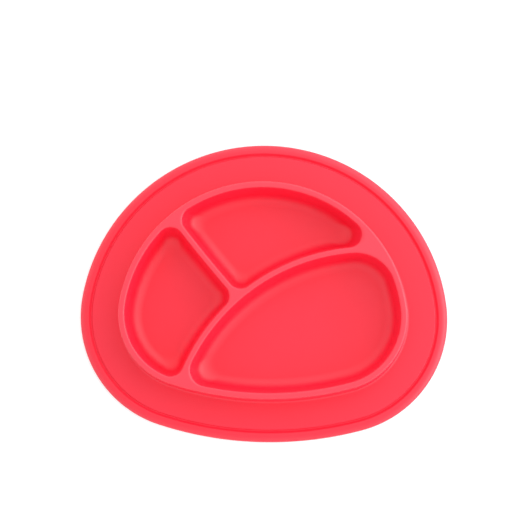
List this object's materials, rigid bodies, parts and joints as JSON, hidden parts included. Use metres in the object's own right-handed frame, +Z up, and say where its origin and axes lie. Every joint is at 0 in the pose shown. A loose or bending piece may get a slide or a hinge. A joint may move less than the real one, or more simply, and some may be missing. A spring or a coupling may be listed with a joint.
{
  "type": "divided suction plate",
  "caption": "Soft silicone plate for a small child: a wide flange that grips the table and a raised tray with curved dividers between its food compartments.",
  "frame": {"origin": "on the table, at the middle of the plate's length and depth", "axes": "+X to the right along the plate's longest side, +Y to the rounder back edge, +Z up out of the compartments"},
  "size_m": [0.27, 0.2194, 0.025],
  "materials": {
    "silicone": "matte"
  },
  "bodies": {
    "root": {"plate": "silicone"}
  },
  "joints": []
}
